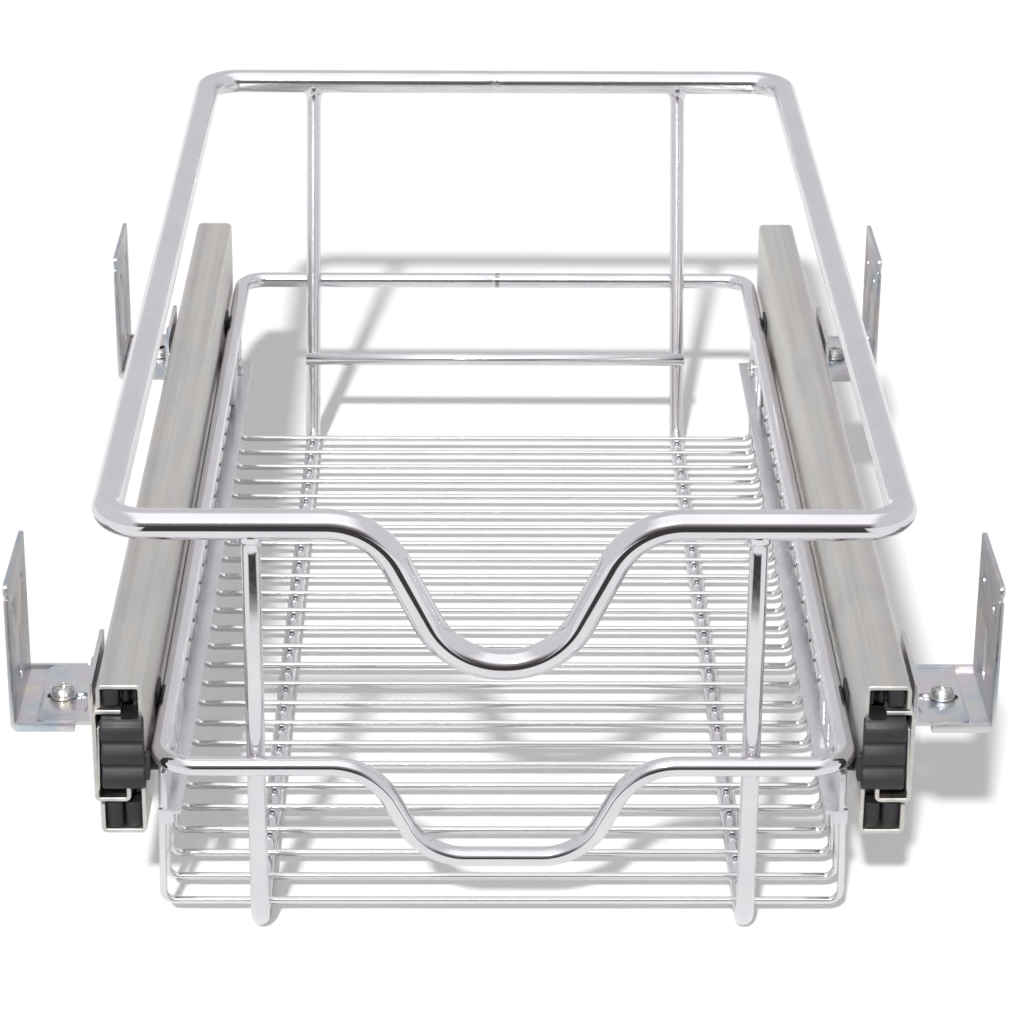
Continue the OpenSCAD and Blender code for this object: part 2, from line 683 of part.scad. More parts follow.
top_rim();
mid_rim();
left_hanger();
right_hanger();
rear_guard_rod();
floor_wires();
left_side_strip();
right_side_strip();
front_left_plate();
rear_left_plate();
front_right_plate();
rear_right_plate();
left_plate_screws();
right_plate_screws();
left_rail_spacers();
right_rail_spacers();
left_basket_rail();
right_basket_rail();
left_front_bumper();
right_front_bumper();
left_end_plugs();
right_end_plugs();
left_middle_rail();
right_middle_rail();
left_inner_cages();
right_inner_cages();
left_inner_balls();
right_inner_balls();
left_outer_cages();
right_outer_cages();
left_outer_balls();
right_outer_balls();
left_cabinet_rail();
right_cabinet_rail();
left_tab_screws();
right_tab_screws();
front_left_bracket();
front_right_bracket();
rear_left_bracket();
rear_right_bracket();
front_left_wing();
front_right_wing();
rear_left_wing();
rear_right_wing();
front_left_clamp_screw();
front_right_clamp_screw();
rear_left_clamp_screw();
rear_right_clamp_screw();
front_left_washer();
front_right_washer();
rear_left_washer();
rear_right_washer();
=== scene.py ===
import json
import math

import bmesh
import bpy
from mathutils import Matrix, Vector


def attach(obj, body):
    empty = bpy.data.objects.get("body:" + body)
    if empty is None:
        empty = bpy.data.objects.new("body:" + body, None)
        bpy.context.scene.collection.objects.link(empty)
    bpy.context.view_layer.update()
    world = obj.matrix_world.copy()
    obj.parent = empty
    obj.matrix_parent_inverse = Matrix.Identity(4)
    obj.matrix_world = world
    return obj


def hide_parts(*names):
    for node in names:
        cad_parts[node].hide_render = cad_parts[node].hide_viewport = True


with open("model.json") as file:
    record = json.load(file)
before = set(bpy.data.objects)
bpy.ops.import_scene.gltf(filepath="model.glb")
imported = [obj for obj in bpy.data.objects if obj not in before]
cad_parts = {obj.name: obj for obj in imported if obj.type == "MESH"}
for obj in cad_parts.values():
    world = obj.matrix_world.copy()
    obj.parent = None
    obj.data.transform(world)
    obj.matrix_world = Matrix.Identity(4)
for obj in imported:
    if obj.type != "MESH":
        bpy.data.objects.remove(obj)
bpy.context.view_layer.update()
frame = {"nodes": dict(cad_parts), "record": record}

# ---------------------------------------------------------------- sizes
# Millimetres, as the solids have them. Y counts from the top rim's front, Z from the ground.
MM = 0.001
MIDDLE_Y = 241.925
SIDES = {"left": -1, "right": 1}

# The rims: half width, front and rear Y, height and diameter of the rod's centre line, and
# the bend radii of the front and rear corners
TOP_X, TOP_FRONT, TOP_REAR, TOP_Z, TOP_D = 127.0, 5.0, 483.5, 150.0, 10.0
TOP_FRONT_R, TOP_REAR_R = 14, 14
MID_X, MID_FRONT, MID_REAR, MID_Z, MID_D = 112.25, -1.4, 454.77, 66.9, 6.5
MID_FRONT_R, MID_REAR_R = 12, 10
# Their dips: half width at the shoulders, half flat, depth, radii of shoulder and bottom
TOP_DIP = (57, 0.4, 49.5, 25, 27)
MID_DIP = (56.4, 12.3, 33.5, 22, 22)

HANGER_X, HANGER_D, HANGER_BEND, REAR_FOOT = 80.7, 6.2, 9, 420.5
GUARD_Y, GUARD_Z, GUARD_D, GUARD_EDGE = 429.52, 39.0, 5.5, 0.5
WIRE_D, WIRE_Z, WIRE_LOW_X = 2.5, 7.5, 113.5
WIRE_FIRST, WIRE_PITCH, WIRE_COUNT, WIRE_BEND = 14.4, 15.96, 26, 4.0

# The runners. In a runner, u counts inwards from its outer face and v up from its underside
SLIDE_OUT, SLIDE_Z, SLIDE_FRONT, SLIDE_REAR = 133.2, 41.0, 0.5, 450.5
SLIDE_W, SLIDE_H, BASKET_INSET, BASKET_LIP_LOW, BASKET_LIP_HIGH = 16.6, 54.0, 1.7, 10.6, 46.0
RAIL_T, RAIL_BEND, MIDDLE_T, MIDDLE_BEND, RAIL_EDGE = 1.4, 1.35, 1.2, 1.2, 0.2
CABINET_TOP, CABINET_LOW, CABINET_FLANGE, CABINET_LEDGE, CABINET_LIP = 45.0, 11.6, 9.5, 11.8, 17.0
MIDDLE_FRONT, MIDDLE_U, MIDDLE_WEB_U, MIDDLE_LOW, MIDDLE_HIGH = 9.5, 4.0, 13.4, 6.5, 48.8

# Balls: distance from the outer face, cage's set back, pitch and count; (v, gap) of each row
BALL_U, CAGE_BACK, BALL_PITCH, BALL_COUNT, BALL_PLAY = 6.5, 104.0, 22.0, 10, 0.05
BALL_ROWS = {"inner": [(45.0, 3.2), (7.1, 4.5)], "outer": [(49.4, 3.2), (1.4, 4.5)]}

# Brackets: the wings' reach and top, the arms' ends and the underside of the wings' feet
WING_REACH = {"front": 160.0, "rear": 154.2}
ARM_END, FOOT_LOW, WING_TOP = 152.0, 75.85, 128.2
ARM_CORNER_R, WING_FOLD_R, WING_CORNER_R = 3.0, 2.2, 1.6

# Plugs: lowest and highest v, and (u, u, front Y) of each upright column; their common web
PLUG_U, PLUG_BACK, PLUG_BULGE, PLUG_EDGE = (3.3, 15.0), 7.4, 1.6, 0.5
PLUGS = [(46.0, 52.55, [(3.3, 9.0, 1.5), (9.7, 12.2, 4.4), (12.9, 15.0, 4.4)]),
         (1.45, 10.6, [(3.3, 8.9, 1.5), (9.5, 15.0, 1.7)])]
PLUG_WEB = (7.2, 8.8)
# Bumpers: v of the ribs, their number, the face they stand on, and how far they swell; the
# share of an outermost rib that falls back, and what is left of it there
BUMPER_LOW, BUMPER_HIGH, RIBS, FACE = 17.6, 43.2, 3, 0.45
RIB_STEPS, RIB_ROOT, RIB_SWELL, RIB_SKEW = 14, 2.9, 1.65, 0.8
RIB_END, RIB_FALL, RIB_U, RIB_EDGE = 0.15, 0.82, (3.05, 16.95), 0.6
SHANK_U, SHANK_OVERLAP, SHANK_BACK, SHANK_EDGE = (3.2, 14.9), 0.5, 8.7, 0.3
NUB_X, NUB_Y, NUB_Z, NUB_EDGE = (114.75, 116.9), (-2.7, 0.4), (61.95, 71.85), 0.7
# The cabinet rail's stop tongue: its outline in (u, v), and its ends in Y
TONGUE = [(1.2, 17.4), (1.65, 18.6), (1.7, 20.0), (2.2, 40.4),
          (2.85, 40.4), (2.3, 20.0), (2.2, 18.3), (1.2, 16.6)]
TONGUE_Y, TONGUE_EDGE = (-3.4, 2.4), 0.1

UP = Vector((0, 0, 1))
SIDEWAYS = Vector((1, 0, 0))
BACKWARD = Vector((0, 1, 0))


def at(x, y, z):
    """A point in the frame, in metres, from millimetres with Y from the top rim's front."""
    return Vector((x, y - MIDDLE_Y, z)) * MM


def rail_point(out):
    """A function that turns a runner's (u, y, v) into a point, on the side that out names."""
    return lambda u, y, v: at(out * (SLIDE_OUT - u), y, SLIDE_Z + v)


# ---------------------------------------------------------------- mesh helpers
def mesh_object(name, bm, body, slot, replaced=(), sharp=35.0):
    """Turns a bmesh into a piece with smooth faces and sharp edges, riding on a body."""
    limit = math.radians(sharp)
    bmesh.ops.recalc_face_normals(bm, faces=bm.faces)
    for f in bm.faces:
        f.smooth = True
    for e in bm.edges:
        if len(e.link_faces) == 2 and e.calc_face_angle(0.0) > limit:
            e.smooth = False
    mesh = bpy.data.meshes.new(name)
    bm.to_mesh(mesh)
    bm.free()
    mesh.materials.append(MATERIALS[slot])
    obj = bpy.data.objects.new(name, mesh)
    bpy.context.scene.collection.objects.link(obj)
    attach(obj, body)
    if replaced:
        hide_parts(*replaced)


def bend_stations(a, b, c, r, step):
    """Centres and directions round the bend of radius r where a path from a to c turns at b."""
    along = (b - a).normalized()
    ahead = (c - b).normalized()
    angle = along.angle(ahead)
    inward = (ahead - along * along.dot(ahead)).normalized()
    centre = b - along * r * math.tan(angle / 2) + inward * r
    count = max(2, math.ceil(angle / step))
    stations = []
    for k in range(count + 1):
        t = angle * k / count
        stations.append((centre + (along * math.sin(t) - inward * math.cos(t)) * r,
                         along * math.cos(t) + inward * math.sin(t)))
    return stations


def route(points, radii, step=math.radians(4)):
    """Centres and directions of a rod through the points, bent to the radii. 0 is an end."""
    stations = []
    for i, r in enumerate(radii):
        if r > 0:
            stations += bend_stations(points[i - 1], points[i], points[(i + 1) % len(points)], r, step)
        else:
            ahead = points[1] - points[0] if i == 0 else points[i] - points[i - 1]
            stations.append((points[i].copy(), ahead.normalized()))
    return stations


def refine(stations, spacing, closed=False):
    """Adds stations to the straight stretches, so that none is longer than the spacing."""
    made = []
    pairs = len(stations) if closed else len(stations) - 1
    for i in range(pairs):
        (p, d), (q, _) = stations[i], stations[(i + 1) % len(stations)]
        made.append((p, d))
        count = int((q - p).length / spacing)
        for k in range(1, count + 1):
            made.append((p.lerp(q, k / (count + 1)), (q - p).normalized()))
    if not closed:
        made.append(stations[-1])
    return made


def sweep(bm, stations, sizes, sides, aside, closed=False):
    """Adds a tube round the stations. sizes has one radius for each station."""
    rings = []
    for (p, d), r in zip(stations, sizes):
        out = d.cross(aside).normalized()
        up = out.cross(d).normalized()
        rings.append([bm.verts.new(p + (out * math.cos(2 * math.pi * k / sides)
                                        + up * math.sin(2 * math.pi * k / sides)) * r)
                      for k in range(sides)])
    for i in range(len(rings) if closed else len(rings) - 1):
        join_rings(bm, rings[i], rings[(i + 1) % len(rings)])
    if not closed:
        bm.faces.new(rings[0][::-1])
        bm.faces.new(rings[-1])


def join_rings(bm, a, b):
    """Adds the faces between two closed rings of vertices."""
    for k in range(len(a)):
        j = (k + 1) % len(a)
        bm.faces.new((a[k], a[j], b[j], b[k]))


def dip_points(x, front, rear, z, half, flat, drop, shoulder_r, bottom_r):
    """Corner points of a rim with a dip in its front, with the two radii that fit in."""
    room = 0.98 * ((half - flat) ** 2 + drop ** 2) / (2 * drop) / (shoulder_r + bottom_r)
    share = min(1.0, room)
    upper, lower = shoulder_r * share, bottom_r * share
    both = upper + lower
    slope = (math.asin(both / math.hypot(half - flat, both - drop))
             - math.atan2(both - drop, half - flat))
    sx = half - upper * math.tan(slope / 2)
    bx = flat + lower * math.tan(slope / 2)
    points = [at(-x, rear, z), at(-x, front, z), at(-sx, front, z), at(-bx, front, z - drop),
              at(bx, front, z - drop), at(sx, front, z), at(x, front, z), at(x, rear, z)]
    return points, upper * MM, lower * MM


# ---------------------------------------------------------------- materials
class Graph:
    """Short ways to add nodes to the node tree of a material or of the world."""

    def __init__(self, tree):
        self.nodes = tree.nodes
        self.links = tree.links

    def link(self, value, socket):
        """Sets a socket from an output or from a number."""
        if isinstance(value, (int, float)):
            socket.default_value = value
        else:
            self.links.new(value, socket)

    def math(self, operation, *values):
        node = self.nodes.new("ShaderNodeMath")
        node.operation = operation
        for i, value in enumerate(values):
            self.link(value, node.inputs[i])
        return node.outputs[0]

    def mix(self, factor, a, b, blend="MIX"):
        """A mix of two colours, each of them an output or a written colour."""
        node = self.nodes.new("ShaderNodeMix")
        node.data_type = "RGBA"
        node.blend_type = blend
        self.link(factor, node.inputs["Factor"])
        for value, name in ((a, "A"), (b, "B")):
            if isinstance(value, tuple):
                node.inputs[name].default_value = (*value, 1)
            else:
                self.links.new(value, node.inputs[name])
        return node.outputs["Result"]

    def axes(self, vector):
        """The outputs X, Y and Z of a vector."""
        node = self.nodes.new("ShaderNodeSeparateXYZ")
        self.links.new(vector, node.inputs[0])
        return node.outputs

    def noise(self, vector, scale, detail=3.0, roughness=0.5):
        node = self.nodes.new("ShaderNodeTexNoise")
        node.inputs["Scale"].default_value = scale
        node.inputs["Detail"].default_value = detail
        node.inputs["Roughness"].default_value = roughness
        self.links.new(vector, node.inputs["Vector"])
        return node.outputs["Fac"]

    def ramp(self, fac, stops):
        """A colour by a number from 0 to 1. stops are (number, colour), in rising order."""
        node = self.nodes.new("ShaderNodeValToRGB")
        elements = node.color_ramp.elements
        for element, (position, colour) in ((elements[0], stops[0]), (elements[1], stops[-1])):
            element.position = position
            element.color = (*colour, 1)
        for position, colour in stops[1:-1]:
            elements.new(position).color = (*colour, 1)
        self.links.new(fac, node.inputs["Fac"])
        return node.outputs["Color"]

    def spread(self, fac, low, high, start=0.3, end=0.7):
        """A number that goes from low to high as fac goes from start to end."""
        node = self.nodes.new("ShaderNodeMapRange")
        node.inputs["From Min"].default_value = start
        node.inputs["From Max"].default_value = end
        node.inputs["To Min"].default_value = low
        node.inputs["To Max"].default_value = high
        self.links.new(fac, node.inputs["Value"])
        return node.outputs["Result"]

    def bump(self, bsdf, height, strength, distance):
        node = self.nodes.new("ShaderNodeBump")
        node.inputs["Strength"].default_value = strength
        node.inputs["Distance"].default_value = distance
        self.links.new(height, node.inputs["Height"])
        self.links.new(node.outputs["Normal"], bsdf.inputs["Normal"])

    def object_coordinates(self, scale=(1, 1, 1)):
        node = self.nodes.new("ShaderNodeMapping")
        node.inputs["Scale"].default_value = scale
        self.links.new(self.nodes.new("ShaderNodeTexCoord").outputs["Object"], node.inputs["Vector"])
        return node.outputs["Vector"]


def new_material(name, metallic):
    mat = bpy.data.materials.new(name)
    mat.use_nodes = True
    bsdf = mat.node_tree.nodes["Principled BSDF"]
    bsdf.inputs["Metallic"].default_value = metallic
    return mat, Graph(mat.node_tree), bsdf


def chrome(name, dark, light, rough, rear_rough=0.0):
    """Polished plating with light clouds. rear_rough is added at the rear, where it is duller."""
    mat, g, bsdf = new_material(name, 1.0)
    where = g.object_coordinates()
    g.link(g.ramp(g.noise(where, 45, 4), [(0.35, dark), (0.65, light)]), bsdf.inputs["Base Color"])
    grain = g.spread(g.noise(where, 600, 2), rough * 0.8, rough * 1.4)
    duller = g.spread(g.axes(where)["Y"], 0.0, rear_rough, -0.10, 0.22)
    g.link(g.math("ADD", grain, duller), bsdf.inputs["Roughness"])
    g.bump(bsdf, g.noise(where, 110, 2), 0.12, 0.0001)
    return mat


def rolled_steel(name):
    """Rolled strip: streaks along it, one darker band on its outer part, and a faint film."""
    mat, g, bsdf = new_material(name, 1.0)
    streaks = g.noise(g.object_coordinates((1, 0.012, 1)), 420, 5, 0.6)
    steel = g.ramp(streaks, [(0.28, (0.65, 0.63, 0.595)), (0.42, (0.69, 0.68, 0.645)),
                             (0.55, (0.73, 0.715, 0.69)), (0.72, (0.79, 0.775, 0.75))])
    across = g.math("ABSOLUTE", g.axes(g.object_coordinates())["X"])
    band = g.ramp(g.spread(across, 0.0, 1.0, 0.115, 0.135),
                  [(0.0, (0.86, 0.85, 0.86)), (0.12, (1, 1, 1)), (0.50, (1, 1, 1)),
                   (0.62, (0.87, 0.87, 0.88)), (0.72, (0.92, 0.92, 0.93)), (1.0, (1, 1, 1))])
    film = g.ramp(g.noise(g.object_coordinates((1, 0.3, 1)), 70, 4),
                  [(0.32, (0.90, 0.935, 0.95)), (0.44, (0.98, 1, 0.99)),
                   (0.56, (1, 0.99, 0.96)), (0.68, (0.99, 0.94, 0.945))])
    banded = g.mix(1.0, steel, band, "MULTIPLY")
    g.link(g.mix(1.0, banded, film, "MULTIPLY"), bsdf.inputs["Base Color"])
    cloud = g.noise(g.object_coordinates((1, 0.15, 1)), 160, 4)
    g.link(g.spread(cloud, 0.34, 0.48), bsdf.inputs["Roughness"])
    g.bump(bsdf, streaks, 0.14, 0.00005)
    return mat


def zinc_plate(name):
    """Zinc with a tinted film, and painted shade that makes a wing darker and browner towards its top."""
    mat, g, bsdf = new_material(name, 1.0)
    where = g.object_coordinates()
    film = g.ramp(g.noise(where, 64, 3, 0.5),
                  [(0.32, (0.54, 0.61, 0.69)), (0.43, (0.66, 0.70, 0.74)), (0.50, (0.73, 0.735, 0.72)),
                   (0.57, (0.72, 0.68, 0.73)), (0.68, (0.80, 0.77, 0.69))])
    place = g.axes(where)
    # Painted shade on the wings: their sheet grows darker and browner from the foot towards the top.
    upwards = g.spread(place["Z"], 0.0, 1.0, 0.078, 0.130)
    outwards = g.spread(g.math("ABSOLUTE", place["X"]), 0.0, 1.0, 0.138, 0.148)
    painted_wing_shade = g.ramp(g.math("MULTIPLY", upwards, outwards),
                  [(0.0, (1, 1, 1)), (0.25, (0.80, 0.79, 0.80)), (0.6, (0.70, 0.68, 0.68)),
                   (1.0, (0.80, 0.80, 0.82))])
    g.link(g.mix(1.0, film, painted_wing_shade, "MULTIPLY"), bsdf.inputs["Base Color"])
    g.link(g.spread(g.noise(where, 260, 5, 0.65), 0.26, 0.42), bsdf.inputs["Roughness"])
    g.bump(bsdf, g.noise(where, 1500, 3), 0.2, 0.00004)
    return mat


def plastic(name):
    """Dark moulded plastic with a fine grain."""
    mat, g, bsdf = new_material(name, 0.0)
    where = g.object_coordinates()
    colour = g.ramp(g.noise(where, 120, 3), [(0.3, (0.011, 0.011, 0.013)), (0.7, (0.018, 0.018, 0.021))])
    g.link(colour, bsdf.inputs["Base Color"])
    grain = g.noise(where, 1900, 3)
    g.link(g.spread(grain, 0.42, 0.58), bsdf.inputs["Roughness"])
    g.bump(bsdf, grain, 0.15, 0.00005)
    return mat


MATERIALS = {
    "chrome_rod": chrome("chrome_rod", (0.78, 0.765, 0.79), (0.83, 0.82, 0.84), 0.06, 0.09),
    "chrome_wire": chrome("chrome_wire", (0.80, 0.795, 0.80), (0.86, 0.855, 0.86), 0.09),
    "plated_strip": chrome("plated_strip", (0.74, 0.73, 0.77), (0.81, 0.80, 0.83), 0.34),
    "screw_steel": chrome("screw_steel", (0.58, 0.57, 0.56), (0.68, 0.67, 0.66), 0.28),
    "ball_steel": chrome("ball_steel", (0.72, 0.72, 0.72), (0.78, 0.78, 0.78), 0.08),
    "rail_steel": rolled_steel("rail_steel"),
    "zinc_plate": zinc_plate("zinc_plate"),
    "dark_plastic": plastic("dark_plastic"),
}

for part in frame["record"]["subparts"]:
    node_mesh = frame["nodes"][part["node"]].data
    node_mesh.materials.clear()
    node_mesh.materials.append(MATERIALS[part["material_slot"]])

# ---------------------------------------------------------------- basket rods
# The weld at the middle of a rim's rear: distance from the middle, and rise of the surface
GROOVES = [(-1.9, 0.0), (-1.4, -0.08), (-0.9, -0.16), (-0.5, -0.04), (0.0, 0.0), (0.5, -0.04),
           (0.9, -0.16), (1.4, -0.08), (1.9, 0.0)]
# Flare of a rod where it is welded on: distance from the other rod's surface, and growth
FLARE = [(5.0, 0.0), (3.4, 0.06), (2.3, 0.16), (1.5, 0.34), (0.9, 0.6), (0.4, 0.95), (0.0, 1.3)]
# Its end inside the other rod: share of that rod's radius, and share of the last growth
FLARE_DEPTH, FLARE_TAIL = 0.35, 0.6


def rim(name, x, front, rear, z, dip, front_r, rear_r, d, node):
    """A closed rod with a dip in its front, whose two ends meet between two shallow grooves."""
    points, upper, lower = dip_points(x, front, rear, z, *dip)
    radii = [rear_r * MM, front_r * MM, upper, lower, lower, upper, front_r * MM, rear_r * MM]
    stations = refine(route(points, radii, math.radians(2.5)), 12 * MM, True)
    seam = at(0, rear, z)
    made, sizes = [], []
    for i, (p, direction) in enumerate(stations):
        q = stations[(i + 1) % len(stations)][0]
        made.append((p, direction))
        sizes.append(d / 2 * MM)
        on_rear = abs(p.y - seam.y) < 1e-6 and abs(q.y - seam.y) < 1e-6
        if on_rear and min(p.x, q.x) < 0 <= max(p.x, q.x):
            sign = 1 if q.x > p.x else -1
            for offset, rise in GROOVES:
                made.append((seam + SIDEWAYS * offset * sign * MM, direction))
                sizes.append((d / 2 + rise) * MM)
    bm = bmesh.new()
    sweep(bm, made, sizes, 40, UP, True)
    mesh_object(name, bm, "basket", "chrome_rod", [node], 60)


def flared_end(tip, direction, cover, d, scale):
    """Stations and radii for a welded end, from the flare's start to inside the other rod.

    tip is the other rod's centre, direction points along the rod towards it, and cover is
    the other rod's radius."""
    stations, sizes = [], []
    for gap, rise in FLARE:
        stations.append((tip - direction * (cover + gap * scale) * MM, direction))
        sizes.append((d / 2 + rise * scale) * MM)
    stations.append((tip - direction * cover * FLARE_DEPTH * MM, direction))
    sizes.append((d / 2 + FLARE[-1][1] * FLARE_TAIL * scale) * MM)
    return stations, sizes


def welded_rod(bm, points, bend, d, sides, aside, cover, scale=1.0, spacing=20.0):
    """A rod with two bends, welded at both ends to rods of the radius cover."""
    body = route(points, [0, bend * MM, bend * MM, 0])
    start, start_sizes = flared_end(points[0], (points[0] - points[1]).normalized(), cover, d, scale)
    end, end_sizes = flared_end(points[-1], (points[-1] - points[-2]).normalized(), cover, d, scale)
    start = [(p, -v) for p, v in reversed(start)]
    middle = refine([start[-1]] + body[1:-1] + [end[0]], spacing * MM)[1:-1]
    stations = start + middle + end
    sizes = start_sizes[::-1] + [d / 2 * MM] * len(middle) + end_sizes
    sweep(bm, stations, sizes, sides, aside)


rim("top_rim_rod", TOP_X, TOP_FRONT, TOP_REAR, TOP_Z, TOP_DIP, TOP_FRONT_R, TOP_REAR_R, TOP_D, "top_rim")
rim("middle_rim_rod", MID_X, MID_FRONT, MID_REAR, MID_Z, MID_DIP, MID_FRONT_R, MID_REAR_R, MID_D, "mid_rim")

for side, out in SIDES.items():
    bm = bmesh.new()
    x, foot_z = out * HANGER_X, HANGER_D / 2
    welded_rod(bm, [at(x, TOP_FRONT, TOP_Z), at(x, TOP_FRONT, foot_z), at(x, REAR_FOOT, foot_z),
                    at(x, TOP_REAR, TOP_Z)], HANGER_BEND, HANGER_D, 32, SIDEWAYS, TOP_D / 2)
    mesh_object(side + "_hanger_rod", bm, "basket", "chrome_rod", [side + "_hanger"], 60)

bm = bmesh.new()
GUARD_END = HANGER_X + HANGER_D / 2
guard = [(at(x, GUARD_Y, GUARD_Z), SIDEWAYS)
         for x in (-GUARD_END, -GUARD_END + GUARD_EDGE, GUARD_END - GUARD_EDGE, GUARD_END)]
guard_sizes = [(GUARD_D / 2 - cut) * MM for cut in (GUARD_EDGE, 0, 0, GUARD_EDGE)]
sweep(bm, guard, guard_sizes, 28, UP)
mesh_object("rear_guard", bm, "basket", "chrome_rod", ["rear_guard_rod"], 50)

bm = bmesh.new()
for i in range(WIRE_COUNT):
    y = WIRE_FIRST + i * WIRE_PITCH
    welded_rod(bm, [at(-MID_X, y, MID_Z), at(-WIRE_LOW_X, y, WIRE_Z), at(WIRE_LOW_X, y, WIRE_Z),
                    at(MID_X, y, MID_Z)], WIRE_BEND, WIRE_D, 12, BACKWARD, MID_D / 2, 0.4, 60.0)
mesh_object("floor_wire_set", bm, "basket", "chrome_wire", ["floor_wires"], 60)


# ---------------------------------------------------------------- runners
def sheet_sides(path, t, r):
    """The two sides of a bent sheet, from its middle line, thickness and middle bend radius."""
    flat = [Vector((u, v, 0)) for u, v in path]
    stations = route(flat, [0] + [r] * (len(path) - 2) + [0], math.radians(15))
    left, right = [], []
    for p, d in stations:
        n = Vector((-d.y, d.x, 0)) * t / 2
        left.append(p + n)
        right.append(p - n)
    return left, right


def long_sheet(name, out, path, t, r, front, rear, body, node):
    """A rolled rail: a bent sheet swept along Y, with lightly broken edges at both ends."""
    bm = bmesh.new()
    place = rail_point(out)
    rings = []
    for y, thick in ((front, t - 2 * RAIL_EDGE), (front + RAIL_EDGE, t),
                     (rear - RAIL_EDGE, t), (rear, t - 2 * RAIL_EDGE)):
        rings.append([[bm.verts.new(place(p.x, y, p.y)) for p in line]
                      for line in sheet_sides(path, thick, r)])
    for a, b in zip(rings, rings[1:]):
        join_rings(bm, a[0] + a[1][::-1], b[0] + b[1][::-1])
    for left, right in (rings[0], rings[-1]):
        for k in range(len(left) - 1):
            bm.faces.new((left[k], left[k + 1], right[k + 1], right[k]))
    mesh_object(name, bm, body, "rail_steel", [node], 40)


# Middle lines of the three rails' sheets, in (u, v)
HALF_T = RAIL_T / 2
BASKET_PATH = [(BASKET_INSET + HALF_T, BASKET_LIP_HIGH), (BASKET_INSET + HALF_T, SLIDE_H - HALF_T),
               (SLIDE_W - HALF_T, SLIDE_H - HALF_T), (SLIDE_W - HALF_T, HALF_T),
               (BASKET_INSET + HALF_T, HALF_T), (BASKET_INSET + HALF_T, BASKET_LIP_LOW)]
CABINET_PATH = [(CABINET_FLANGE, CABINET_TOP - HALF_T), (HALF_T, CABINET_TOP - HALF_T),
                (HALF_T, CABINET_LOW + HALF_T), (CABINET_LEDGE - HALF_T, CABINET_LOW + HALF_T),
                (CABINET_LEDGE - HALF_T, CABINET_LIP)]
MIDDLE_PATH = [(MIDDLE_U, MIDDLE_HIGH), (MIDDLE_WEB_U, MIDDLE_HIGH), (MIDDLE_WEB_U, MIDDLE_LOW),
               (MIDDLE_U, MIDDLE_LOW)]
for side, out in SIDES.items():
    long_sheet(side + "_basket_channel", out, BASKET_PATH, RAIL_T, RAIL_BEND, SLIDE_FRONT,
               SLIDE_REAR, "basket", side + "_basket_rail")
    long_sheet(side + "_cabinet_channel", out, CABINET_PATH, RAIL_T, RAIL_BEND, SLIDE_FRONT,
               SLIDE_REAR, "cabinet_side", side + "_cabinet_rail")
    long_sheet(side + "_middle_channel", out, MIDDLE_PATH, MIDDLE_T, MIDDLE_BEND, MIDDLE_FRONT,
               SLIDE_REAR, side + "_middle", side + "_middle_rail")


# ---------------------------------------------------------------- sheet parts from the frame
def sharp_edges(bm):
    return [e for e in bm.edges
            if len(e.link_faces) == 2 and e.calc_face_angle(0.0) > math.radians(40)]


def rounded_copy(node, name, body, slot, folds=(), width=0.22, segments=2):
    """A copy of a CAD node with its edges broken. folds lists (test, width, segments) for the
    edges that are rounded more; a test gets an edge's two ends in millimetres."""
    bm = bmesh.new()
    bm.from_mesh(frame["nodes"][node].data)
    bmesh.ops.remove_doubles(bm, verts=bm.verts, dist=1e-6)
    bmesh.ops.dissolve_limit(bm, angle_limit=math.radians(1), verts=bm.verts, edges=bm.edges)
    for test, fold_width, fold_segments in folds:
        chosen = [e for e in sharp_edges(bm) if test(*(v.co / MM for v in e.verts))]
        if chosen:
            bmesh.ops.bevel(bm, geom=chosen, offset=fold_width * MM, segments=fold_segments,
                            affect="EDGES", profile=0.5, clamp_overlap=True)
    bmesh.ops.bevel(bm, geom=sharp_edges(bm), offset=width * MM, segments=segments,
                    affect="EDGES", profile=0.5, clamp_overlap=True)
    mesh_object(name, bm, body, slot, [node], 30)


def near(value, target):
    return abs(value - target) < 0.02


def arm_corner(a, b):
    """Test for the upright edges at an arm's end."""
    return near(a.x, b.x) and near(a.y, b.y) and near(abs(a.x), ARM_END)


def along_edge(x, z):
    """Test for the edges along Y at the given distance from the middle plane and height."""
    return lambda a, b: all(near(abs(v.x), x) and near(v.z, z) for v in (a, b))


def top_corner(a, b):
    """Test for a wing's short top edges, through its sheet."""
    return near(a.z, WING_TOP) and near(b.z, WING_TOP) and near(a.y, b.y)


for side in SIDES:
    rounded_copy(side + "_side_strip", side + "_strip", "basket", "plated_strip")
    rounded_copy(side + "_rail_spacers", side + "_spacer_set", "basket", "dark_plastic", width=0.25)
    for screws, body in (("plate_screw", "basket"), ("tab_screw", "cabinet_side")):
        rounded_copy(side + "_" + screws + "s", side + "_" + screws + "_set", body, "screw_steel",
                     width=0.3, segments=3)
    for row in BALL_ROWS:
        rounded_copy(side + "_" + row + "_cages", side + "_" + row + "_cage_set",
                     side + "_" + row + "_ball_row", "dark_plastic", width=0.12)
    for end, reach in WING_REACH.items():
        corner = end + "_" + side
        wing_body = corner + "_wing_set"
        rounded_copy(corner + "_plate", corner + "_slotted_plate", "basket", "plated_strip")
        rounded_copy(corner + "_bracket", corner + "_arm", "cabinet_side", "zinc_plate",
                     [(arm_corner, ARM_CORNER_R, 6)])
        rounded_copy(corner + "_wing", corner + "_wing_sheet", wing_body, "zinc_plate",
                     [(along_edge(reach, FOOT_LOW), WING_FOLD_R, 6), (top_corner, WING_CORNER_R, 4)])
        rounded_copy(corner + "_clamp_screw", corner + "_clamp_screw_set", wing_body, "screw_steel",
                     width=0.3, segments=3)
        rounded_copy(corner + "_washer", corner + "_washer_ring", wing_body, "screw_steel", width=0.15)

